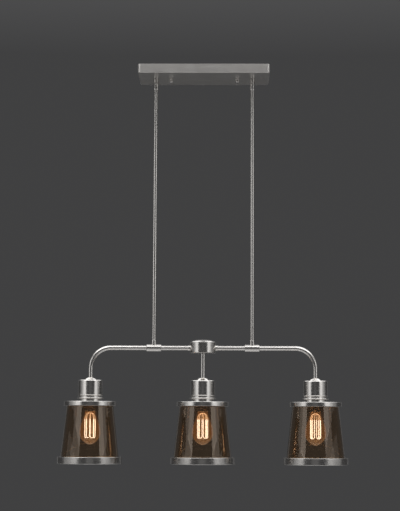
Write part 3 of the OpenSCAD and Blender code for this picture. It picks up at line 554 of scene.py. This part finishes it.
def make_feet_and_tees():
    """Rod feet that run down into the tees, and tee sleeves with chamfered, counterbored ends."""
    low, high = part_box("rod_feet")
    foot_r = high.x - ROD_X[1]
    rod_r = (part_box("rod_left")[1].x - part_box("rod_left")[0].x) / 2 + FIT
    tee_low, tee_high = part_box("tee_left")
    tee_r = (tee_high.z - tee_low.z) / 2
    rod_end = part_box("rod_left")[0].z
    bore_r, spigot_step, saddle_share, rim_r = 0.00315, 0.0051, 0.72, 0.0006
    spigot_r = tee_r - spigot_step
    saddle_z = BAR_Z + tee_r * saddle_share
    bm = bmesh.new()
    for x in ROD_X:
        lathe(bm, rounded([
            (bore_r, low.z, 0), (spigot_r, low.z, SOFT_EDGE), (spigot_r, saddle_z, 0),
            (foot_r, saddle_z, 0), (foot_r, high.z, rim_r), (rod_r, high.z, SOFT_EDGE / 2),
            (rod_r, rod_end, 0), (bore_r, rod_end, 0),
        ]), (x, 0, 0))
    finish_mesh("rod_feet_turned", bm, turned_nickel, "fixture", ["rod_feet"])
    half = (tee_high.x - tee_low.x) / 2
    chamfer = 0.0008
    seat_depth = 0.015
    inner_r = TUBE_R - TUBE_WALL
    hole_r = TUBE_R + FIT
    for side, x in zip(("left", "right"), ROD_X):
        profile = [(inner_r, -half + seat_depth), (hole_r, -half + seat_depth), (hole_r, -half)]
        profile += [(tee_r - chamfer, -half), (tee_r, -half + chamfer)]
        profile += [(tee_r, half - chamfer), (tee_r - chamfer, half), (hole_r, half)]
        profile += [(hole_r, half - seat_depth), (inner_r, half - seat_depth)]
        bm = lathe(bmesh.new(), profile, (x, 0, BAR_Z), axis="X")
        finish_mesh("tee_%s_turned" % side, bm, bar_nickel, "fixture", ["tee_" + side])


def arm_path(side):
    """Points along the middle of an arm: out from the tee, round the bend and down into the socket."""
    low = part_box("arm_right")[0]
    end_x = LIGHT_X["right"]
    guard = 0.002
    bend_centre = Vector((end_x - BEND_R, 0, BAR_Z - BEND_R))
    steps = 48
    points = [Vector((low.x, 0, BAR_Z)), Vector((end_x - BEND_R - guard, 0, BAR_Z))]
    for k in range(steps + 1):
        angle = math.pi / 2 * (1 - k / steps)
        points.append(bend_centre + Vector((BEND_R * math.cos(angle), 0, BEND_R * math.sin(angle))))
    points.append(Vector((end_x, 0, BAR_Z - BEND_R - guard)))
    points.append(Vector((end_x, 0, low.z)))
    sign = 1 if side == "right" else -1
    return [Vector((sign * p.x, p.y, p.z)) for p in points]


def make_tubes():
    """Inner bar tubes, the centre stem and the two bent arms."""
    for side in ("left", "right"):
        node = "bar_" + side
        low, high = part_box(node)
        profile = band(TUBE_R - TUBE_WALL, TUBE_R, low.x, high.x)
        bm = lathe(bmesh.new(), profile, (0, 0, BAR_Z), axis="X")
        finish_mesh(node + "_drawn", bm, bar_nickel, "fixture", [node])
        bm = bmesh.new()
        outer = tube(bm, arm_path(side), TUBE_R, sides=64, capped=False)
        inner = tube(bm, arm_path(side), TUBE_R - TUBE_WALL, sides=64, capped=False)
        for end in (0, -1):
            join_rings(bm, [outer[end], inner[end]], closed=False)
        finish_mesh("arm_%s_bent" % side, bm, bar_nickel, "fixture", ["arm_" + side])
    low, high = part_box("stem_centre")
    bm = lathe(bmesh.new(), band(TUBE_R - TUBE_WALL, TUBE_R, low.z, high.z))
    finish_mesh("stem_drawn", bm, rod_nickel, "fixture", ["stem_centre"])


def make_hub():
    """Round pan, domed cover with a flat middle, and the collars on its sides."""
    low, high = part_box("hub_body")
    radius = high.x
    inner = radius - HUB_SHEET
    edge_r, bend_r, collar_edge = 0.0012, 0.001, 0.0005
    spigot_wall, spigot_fillet = 0.0012, 0.003
    bm = lathe(bmesh.new(), rounded([
        (TUBE_R + FIT, low.z, SOFT_EDGE), (radius, low.z, edge_r), (radius, high.z, SOFT_EDGE),
        (inner, high.z, 0), (inner, low.z + HUB_SHEET, bend_r), (TUBE_R + FIT, low.z + HUB_SHEET, 0),
    ]), segments=128)
    finish_mesh("hub_pan", bm, turned_nickel, "fixture", ["hub_body"])

    cover_low, cover_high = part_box("hub_cover")
    fall = cover_high.z - high.z - HUB_LIP
    arc_r = ((radius - HUB_FLAT_R) ** 2 + fall ** 2) / (2 * fall)
    end = math.degrees(math.asin((arc_r - fall) / arc_r))
    spigot = inner - FIT
    dome = arc(HUB_FLAT_R, cover_high.z - arc_r, arc_r, 90, end, 24)
    shell = [(r, z - HUB_SHEET) for r, z in dome if r < spigot - spigot_fillet]
    profile = [(0, cover_high.z - HUB_SHEET), (0, cover_high.z)] + dome
    profile += arc(radius - SOFT_EDGE, high.z + SOFT_EDGE, SOFT_EDGE, 0, -90, 4)
    profile += [(spigot, high.z), (spigot, cover_low.z), (spigot - spigot_wall, cover_low.z)]
    profile += [(spigot - spigot_wall, high.z)] + shell[::-1]
    bm = lathe(bmesh.new(), profile, segments=128)
    finish_mesh("hub_dome", bm, turned_nickel, "fixture", ["hub_cover"])

    collar_low, collar_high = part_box("hub_collars")
    collar_r = (collar_high.z - collar_low.z) / 2
    bm = bmesh.new()
    for sign in (-1, 1):
        ends = sorted((sign * (radius - edge_r), sign * collar_high.x))
        lathe(bm, band(TUBE_R + FIT, collar_r, *ends, edge=collar_edge), (0, 0, BAR_Z), axis="X")
    finish_mesh("hub_side_collars", bm, bar_nickel, "fixture", ["hub_collars"])


# Cups, sockets and shades


def dome_profile(node):
    """The small dome on a cup, with the tube's hole through it."""
    low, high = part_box(node)
    radius = high.x - LIGHT_X["right"]
    rise = 0.0085
    arc_r = (radius ** 2 + rise ** 2) / (2 * rise)
    hole = TUBE_R + FIT
    top = math.degrees(math.acos(hole / arc_r))
    end = math.degrees(math.asin((arc_r - rise) / arc_r))
    return [(hole, low.z)] + arc(0, low.z + rise - arc_r, arc_r, top, end, 16)


def fitter_profile():
    """Beaded ring: flange, neck, lower bead, groove, upper bead and the spigot inside the cup."""
    low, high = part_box("fitter_rings")
    upper_r, lower_r = 0.0013, 0.002
    upper_reach, lower_share = 0.03575, 0.52
    cup_r = (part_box("cup_left")[1].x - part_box("cup_left")[0].x) / 2
    cup_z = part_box("cup_left")[0].z
    bead_z = low.z + (cup_z - low.z) * lower_share
    groove = cup_r - CUP_SHEET - FIT
    neck, wall = 0.032, 0.002
    inner = neck - wall
    chamfer, fillet = 0.0006, 0.0004
    bore = (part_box("socket_sleeves")[1].x - LIGHT_X["right"]) + FIT
    lower_centre = high.x - LIGHT_X["right"] - lower_r
    upper_centre = upper_reach - upper_r
    profile = [(bore, low.z), (neck, low.z)]
    profile += [(neck, bead_z - lower_r - chamfer), (neck + chamfer, bead_z - lower_r)]
    profile += arc(lower_centre, bead_z, lower_r, -90, 90)
    profile += [(groove + fillet, bead_z + lower_r), (groove, bead_z + lower_r + fillet)]
    profile += [(groove, cup_z - 2 * upper_r - fillet), (groove + fillet, cup_z - 2 * upper_r)]
    profile += arc(upper_centre, cup_z - upper_r, upper_r, -90, 90)
    profile += [(groove, cup_z), (groove, high.z), (inner, high.z)]
    profile += [(inner, low.z + wall), (bore, low.z + wall)]
    return profile


def make_cups():
    """Spun cups with a soft shoulder, their small domes and the beaded rings below."""
    for side in SIDES:
        node = "cup_" + side
        low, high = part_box(node)
        radius = (high.x - low.x) / 2
        hole = TUBE_R + FIT
        inner, under = radius - CUP_SHEET, high.z - CUP_SHEET
        bm = lathe(bmesh.new(), rounded([
            (hole, high.z, 0), (hole, under, 0), (inner, under, CUP_EDGE_R - CUP_SHEET),
            (inner, low.z, SOFT_EDGE / 2), (radius, low.z, SOFT_EDGE), (radius, high.z, CUP_EDGE_R),
        ], steps=8), (LIGHT_X[side], 0, 0), segments=128)
        finish_mesh("cup_%s_spun" % side, bm, turned_nickel, "fixture", [node])
    for name, node, profile in (
        ("cup_domes", "cup_caps", dome_profile("cup_caps")),
        ("beaded_rings", "fitter_rings", fitter_profile()),
    ):
        bm = bmesh.new()
        for x in LIGHT_X.values():
            lathe(bm, profile, (x, 0, 0), segments=128)
        finish_mesh(name, bm, turned_nickel, "fixture", [node])


def make_sockets():
    """Nickel sleeves, ceramic lampholders and the notched nuts below the shade caps."""
    sleeve_low, sleeve_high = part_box("socket_sleeves")
    sleeve_r = sleeve_high.x - LIGHT_X["right"]
    nut_low, nut_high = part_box("shade_nuts")
    sleeve_wall, crown = 0.001, 0.0005
    notches, notch_r, nut_edge, step = 18, 0.0016, 0.0006, 0.002
    nut_r = nut_high.x - LIGHT_X["right"] + crown
    sleeves, nuts = bmesh.new(), bmesh.new()
    nut_profile = refine(band(sleeve_r + FIT, nut_r, nut_low.z, nut_high.z, edge=nut_edge), step)
    nut_warp = notch(notches, nut_r, nut_r + nut_edge, notch_r)
    for x in LIGHT_X.values():
        lathe(sleeves, band(sleeve_r - sleeve_wall, sleeve_r, sleeve_low.z, sleeve_high.z), (x, 0, 0))
        lathe(nuts, nut_profile, (x, 0, 0), segments=288, warp=nut_warp)
    finish_mesh("socket_skins", sleeves, turned_nickel, "fixture", ["socket_sleeves"])
    finish_mesh("notched_nuts", nuts, turned_nickel, "fixture", ["shade_nuts"])
    for side in SIDES:
        paint("lampholder_" + side, ceramic)


def make_shade_cap(side, x):
    """Spun cap with a hole for the socket sleeve."""
    node = "shade_cap_" + side
    low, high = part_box(node)
    radius = (high.y - low.y) / 2
    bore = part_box("socket_sleeves")[1].x - LIGHT_X["right"] + FIT
    inner, under, bend_r = radius - SHADE_SHEET, high.z - SHADE_SHEET, 0.001
    bm = lathe(bmesh.new(), rounded([
        (bore, high.z, SOFT_EDGE), (bore, under, 0), (inner, under, bend_r),
        (inner, low.z, SHADE_SHEET / 2), (radius, low.z, SHADE_SHEET / 2), (radius, high.z, SHADE_SHEET),
    ]), (x, 0, 0), segments=192)
    finish_mesh(node + "_spun", bm, turned_nickel, "fixture", [node])


def make_shade_glass(side, x):
    """Tapered glass with polished edges. Returns its lower outer radius."""
    node = "shade_glass_" + side
    low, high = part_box(node)
    bottom_r = (high.y - low.y) / 2
    top_r = bottom_r - GLASS_TAPER
    edge = 0.0009
    bm = lathe(bmesh.new(), rounded([
        (top_r - GLASS_T, high.z, edge), (bottom_r - GLASS_T, low.z, edge),
        (bottom_r, low.z, edge), (top_r, high.z, edge),
    ]), (x, 0, 0), segments=192)
    finish_mesh(node + "_drawn", bm, smoked_glass, "fixture", [node])
    return bottom_r


def make_foot_ring(side, x, glass_r):
    """Lower ring with two rolled edges and the ledge that the glass stands on."""
    node = "foot_ring_" + side
    low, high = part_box(node)
    radius = (high.y - low.y) / 2
    roll = SHADE_SHEET * 0.7
    wall = radius - 2 * roll
    ledge_reach, ledge_drop = 0.0005, 0.003
    ledge_r = glass_r - GLASS_T - ledge_reach
    ledge_z = high.z - ledge_drop
    profile = [(ledge_r, ledge_z), (ledge_r, ledge_z - SHADE_SHEET), (wall, ledge_z - SHADE_SHEET)]
    profile += arc(wall + roll, low.z + roll, roll, 180, 360, 12)
    profile += arc(wall + roll, high.z - roll, roll, 0, 180, 12)
    profile += [(wall, ledge_z)]
    bm = lathe(bmesh.new(), profile, (x, 0, 0), segments=192)
    finish_mesh(node + "_rolled", bm, turned_nickel, "fixture", [node])


def make_shades():
    """Cap, glass and lower ring of each shade."""
    for side in SIDES:
        x = LIGHT_X[side]
        make_shade_cap(side, x)
        glass_r = make_shade_glass(side, x)
        make_foot_ring(side, x, glass_r)


# Bulbs


def bulb_outline(inset, side):
    """Radius and height along the bulb's outer or inner face, from its neck to its tip."""
    low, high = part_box("bulb_glass_" + side)
    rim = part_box("bulb_base_" + side)[0].z - SEAT
    length = rim - low.z
    widest_r = (high.y - low.y) / 2
    neck_r, neck_h = 0.0142, 0.004
    round_share, shoulder_bow, tip_fall, tip_round = 0.53, 0.85, 1.8, 0.62
    round_h = widest_r * 2 * round_share
    widest = length - round_h
    steps = 60
    points = []
    for i in range(steps + 1):
        depth = max((length - inset) * math.sin(math.pi / 2 * i / steps), inset)
        if depth <= widest:
            rise = max((depth - neck_h) / (widest - neck_h), 0)
            swell = (1 - math.cos(math.pi * rise ** shoulder_bow)) / 2
            radius = neck_r + (widest_r - neck_r) * swell - inset
        else:
            drop = min((depth - widest) / (round_h - inset), 1)
            radius = (widest_r - inset) * (1 - drop ** tip_fall) ** tip_round
        points.append((0 if i == steps else radius, rim - depth))
    return points


def screw_warp(low_z, high_z, core_r, rib_r):
    """Warp that winds a round thread along the outside of the screw base."""
    run_out, slack = 0.001, 0.0001

    def warp(r, h, angle):
        if r < core_r - slack or not low_z < h < high_z:
            return r
        fade = min(1, (h - low_z) / run_out, (high_z - h) / run_out)
        phase = 2 * math.pi * h / THREAD_PITCH - angle
        return core_r + rib_r * fade * (1 + math.cos(phase)) / 2
    return warp


def make_bulb_base(side, body, x):
    """Screw shell with a wound thread, black insulator and solder tip. Returns the shell's inner radius."""
    low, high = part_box("bulb_base_" + side)
    base_r = (high.y - low.y) / 2
    rib_r, shell_wall, shell_h, shell_edge, skirt_h, step = 0.0009, 0.0008, 0.022, 0.0006, 0.003, 0.0004
    thread_from, thread_to = 0.0045, 0.0205
    core_r = base_r - rib_r
    inner_r = core_r - shell_wall
    shell_top = low.z + shell_h
    profile = refine(rounded([
        (inner_r, low.z, 0), (base_r, low.z, SOFT_EDGE), (base_r, low.z + skirt_h, SOFT_EDGE),
        (core_r, low.z + skirt_h + SOFT_EDGE, 0), (core_r, shell_top, shell_edge), (inner_r, shell_top, 0),
    ]), step)
    warp = screw_warp(low.z + thread_from, low.z + thread_to, core_r, rib_r)
    bm = lathe(bmesh.new(), profile, (x, 0, 0), warp=warp)
    finish_mesh("bulb_screw_" + side, bm, base_metal, body, ["bulb_base_" + side])
    disc_r, disc_z, land_r = core_r - 0.001, shell_top - 0.001, 0.005
    bm = lathe(bmesh.new(), rounded([
        (0, disc_z, 0), (disc_r, disc_z, 0), (disc_r, disc_z + 0.0014, 0.0005),
        (land_r, disc_z + 0.0038, 0.001), (0, disc_z + 0.004, 0),
    ]), (x, 0, 0))
    finish_mesh("bulb_insulator_" + side, bm, insulator, body)
    tip_r, tip_round = 0.004, 0.0014
    bm = lathe(bmesh.new(), rounded([
        (0, shell_top, 0), (tip_r, shell_top, 0), (tip_r, high.z, tip_round), (0, high.z, 0),
    ]), (x, 0, 0))
    finish_mesh("bulb_tip_" + side, bm, zinc, body)
    return inner_r


def make_envelope(side, body, x, rim_z, shell_r):
    """Thin amber glass from a neck inside the base to a rounded tip."""
    glass_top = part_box("bulb_glass_" + side)[1].z
    rim = rim_z - SEAT
    outer = shell_r - FIT
    inner = outer - BULB_WALL
    neck = [(inner, rim - BULB_WALL), (inner, glass_top), (outer, glass_top), (outer, rim)]
    profile = bulb_outline(0, side) + bulb_outline(BULB_WALL, side)[::-1] + neck
    bm = lathe(bmesh.new(), profile, (x, 0, 0), segments=128)
    name = "bulb_envelope_" + side
    finish_mesh(name, bm, amber_glass, body, ["bulb_glass_" + side], sharp=50)


def hairpin_path(legs, foot_z, top_z):
    """Down one leg, round a soft foot and up the other leg."""
    foot_h, straight_from = 0.004, 0.006
    shares = (0.04, 0.12, 0.25, 0.4, 0.5, 0.6, 0.75, 0.88, 0.96)
    path = [legs[0] + Vector((0, 0, top_z)), legs[0] + Vector((0, 0, foot_z + straight_from))]
    for share in shares:
        lift = foot_h * (1 - math.sin(math.pi * share))
        path.append(legs[0].lerp(legs[1], share) + Vector((0, 0, foot_z + lift)))
    path += [legs[1] + Vector((0, 0, foot_z + straight_from)), legs[1] + Vector((0, 0, top_z))]
    return path


def support_path(leg, stem_end, top_z):
    """Wire that leaves the glass stem and bends over to the top of a leg."""
    root_share, root_h, overlap, steps = 0.1, 0.002, 0.001, 10
    start = Vector((leg.x * root_share, leg.y * root_share, stem_end + root_h))
    elbow = Vector((leg.x, leg.y, stem_end))
    end = Vector((leg.x, leg.y, top_z - overlap))
    shares = [k / steps for k in range(steps + 1)]
    return [start.lerp(elbow, share).lerp(elbow.lerp(end, share), share) for share in shares]


def make_filament(side, body, x, rim_z):
    """Hairpins of filament on support wires that spread from a glass stem."""
    aside = Vector((x, 0, 0))
    hairpins, first_angle = 4, math.radians(30)
    wire_r, leg_h, stem_drop = 0.0004, 0.052, 0.010
    foot_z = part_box("bulb_filament_" + side)[0].z + STRAND_R
    top_z = foot_z + leg_h
    stem_end = rim_z - stem_drop
    strands, supports = bmesh.new(), bmesh.new()
    for i in range(hairpins):
        legs = []
        for half in (-0.5, 0.5):
            angle = 2 * math.pi * (i + half / 2) / hairpins + first_angle
            legs.append(Vector((math.cos(angle), math.sin(angle), 0)) * FILAMENT_CAGE_R)
        tube(strands, [p + aside for p in hairpin_path(legs, foot_z, top_z)], STRAND_R, sides=12)
        for leg in legs:
            tube(supports, [p + aside for p in support_path(leg, stem_end, top_z)], wire_r, sides=8)
    name = "filament_" + side
    finish_mesh(name, strands, filament_glow, body, ["bulb_filament_" + side])
    # The support wires carry painted glow.
    finish_mesh("filament_supports_" + side, supports, support_painted_glow, body)
    press_r, cone_r, flare_r = 0.0026, 0.005, 0.0112
    cone_z, flare_z, flare_top = (rim_z + rise for rise in (0.010, 0.011, 0.012))
    bm = lathe(bmesh.new(), rounded([
        (0, stem_end, 0), (press_r, stem_end, 0.001), (cone_r, cone_z, 0),
        (flare_r, flare_z, 0.0005), (flare_r, flare_top, SOFT_EDGE), (0, flare_top, 0),
    ]), (x, 0, 0))
    finish_mesh("filament_stem_" + side, bm, stem_glass, body)


def make_bulbs():
    """Base, envelope, stem and lit hairpins of each bulb."""
    for side in SIDES:
        body = "bulb_" + side
        x = LIGHT_X[side]
        rim_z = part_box("bulb_base_" + side)[0].z
        shell_r = make_bulb_base(side, body, x)
        make_envelope(side, body, x, rim_z, shell_r)
        make_filament(side, body, x, rim_z)


def paint_the_rest():
    """Materials of the CAD nodes that stay on show."""
    finishes = {
        zinc: ("crossbar", "mounting_studs", "stud_lock_nuts", "swivel_washers"),
        brass: ("swivel_nuts", "tube_nuts", "screw_shells", "centre_contacts"),
        green_paint: ("ground_screw",),
        wire_black: ("supply_leads", "fixture_wires"),
        connector_orange: ("wire_connectors",),
        sealant: ("glass_seals",),
    }
    for material, nodes in finishes.items():
        for node in nodes:
            paint(node, material)


# Studio


def make_floor():
    """Pale floor with painted shade: its colour darkens towards the far rim, into the grey of the room."""
    bm = bmesh.new()
    bmesh.ops.create_circle(bm, cap_ends=True, segments=128, radius=FLOOR_R)
    mesh = bpy.data.meshes.new("floor")
    bm.to_mesh(mesh)
    bm.free()
    floor = bpy.data.objects.new("floor", mesh)
    floor.location.z = FLOOR_Z
    bpy.context.scene.collection.objects.link(floor)
    material, nodes, links, shader = node_tree("pale_floor")
    place = nodes.new("ShaderNodeTexCoord")
    length = nodes.new("ShaderNodeVectorMath")
    length.operation = "LENGTH"
    links.new(place.outputs["Object"], length.inputs[0])
    far = spread(nodes, links, length.outputs["Value"], 0.0, 1.0, *FLOOR_FADE)
    links.new(two_tone(nodes, links, far, FLOOR_PALE, FLOOR_PAINTED_SHADE, 0.0, 1.0), shader.inputs["Base Color"])
    shader.inputs["Roughness"].default_value = 0.9
    mesh.materials.append(material)


def make_world():
    """Plain grey room that is a little paler overhead."""
    world = bpy.data.worlds.new("studio")
    bpy.context.scene.world = world
    world.use_nodes = True
    nodes, links = world.node_tree.nodes, world.node_tree.links
    background = nodes["Background"]
    place = nodes.new("ShaderNodeTexCoord")
    split = nodes.new("ShaderNodeSeparateXYZ")
    links.new(place.outputs["Generated"], split.inputs["Vector"])
    height = spread(nodes, links, split.outputs["Z"], 0.0, 1.0, start=0.25, end=0.9)
    links.new(two_tone(nodes, links, height, ROOM_GREY, ROOM_PALE, 0.0, 1.0), background.inputs["Color"])
    background.inputs["Strength"].default_value = 1.0


def softbox(name, azimuth, elevation, distance, width, tall, radiance):
    """A rectangular lamp seen from the object at an azimuth and elevation. Only its light and gleam show."""
    light = bpy.data.lights.new(name, "AREA")
    light.shape = "RECTANGLE"
    light.size = width
    light.size_y = tall
    light.energy = radiance * math.pi * width * tall
    lamp = bpy.data.objects.new(name, light)
    bpy.context.scene.collection.objects.link(lamp)
    a, e = math.radians(azimuth), math.radians(elevation)
    outwards = Vector((math.sin(a) * math.cos(e), -math.cos(a) * math.cos(e), math.sin(e)))
    lamp.location = LIT_POINT + outwards * distance
    lamp.rotation_euler = outwards.to_track_quat("Z", "Y").to_euler()
    lamp.visible_camera = False
    lamp.visible_transmission = False


def make_lights():
    """Tall softboxes at both sides that fade to the back, smaller lamps round them, and the middle ones."""
    for side_name, side in (("left", -1), ("right", 1)):
        for layer, angle, radiance in SIDE_LAYERS:
            azimuth = side * (SIDE_EDGE + angle / 2)
            wide = 2 * LAMP_DISTANCE * math.tan(math.radians(angle / 2))
            for tier, elevation, tall in SIDE_TIERS:
                name = "_".join((layer, tier, side_name))
                softbox(name, azimuth, elevation, LAMP_DISTANCE, wide, tall, radiance)
        for lamp, azimuth, elevation, wide, tall, radiance in PAIRED_LAMPS:
            name = lamp + "_" + side_name
            softbox(name, side * azimuth, elevation, LAMP_DISTANCE, wide, tall, radiance)
    for name, elevation, distance, wide, tall, radiance in MIDDLE_LAMPS:
        softbox(name, 0, elevation, distance, wide, tall, radiance)


def make_camera():
    """The photograph's viewpoint: slightly below the bar, looking a little up and to the left."""
    image_height = 511
    focal_px = 1474.2
    viewpoint = (0.0666, -4.157, -1.0347)
    yaw, pitch, roll = math.radians(1.05), math.radians(6.81), math.radians(0.278)
    right = Vector((math.cos(yaw), math.sin(yaw), 0))
    level = Vector((-math.sin(yaw), math.cos(yaw), 0))
    forward = level * math.cos(pitch) + Vector((0, 0, math.sin(pitch)))
    up = right.cross(forward)
    tilted_right = right * math.cos(roll) + up * math.sin(roll)
    tilted_up = up * math.cos(roll) - right * math.sin(roll)
    data = bpy.data.cameras.new("photo_camera")
    data.sensor_width = 36
    data.lens = focal_px / image_height * data.sensor_width
    data.clip_start, data.clip_end = 0.1, 60
    camera = bpy.data.objects.new("photo_camera", data)
    bpy.context.scene.collection.objects.link(camera)
    turn = Matrix((tilted_right, tilted_up, -forward)).transposed()
    camera.matrix_world = Matrix.Translation(viewpoint) @ turn.to_4x4()
    bpy.context.scene.camera = camera


make_canopy()
make_cap_nuts()
make_swivels()
make_rods()
make_feet_and_tees()
make_tubes()
make_hub()
make_cups()
make_sockets()
make_shades()
make_bulbs()
paint_the_rest()
make_floor()
make_world()
make_lights()
make_camera()
bpy.context.scene.view_settings.view_transform = "Standard"
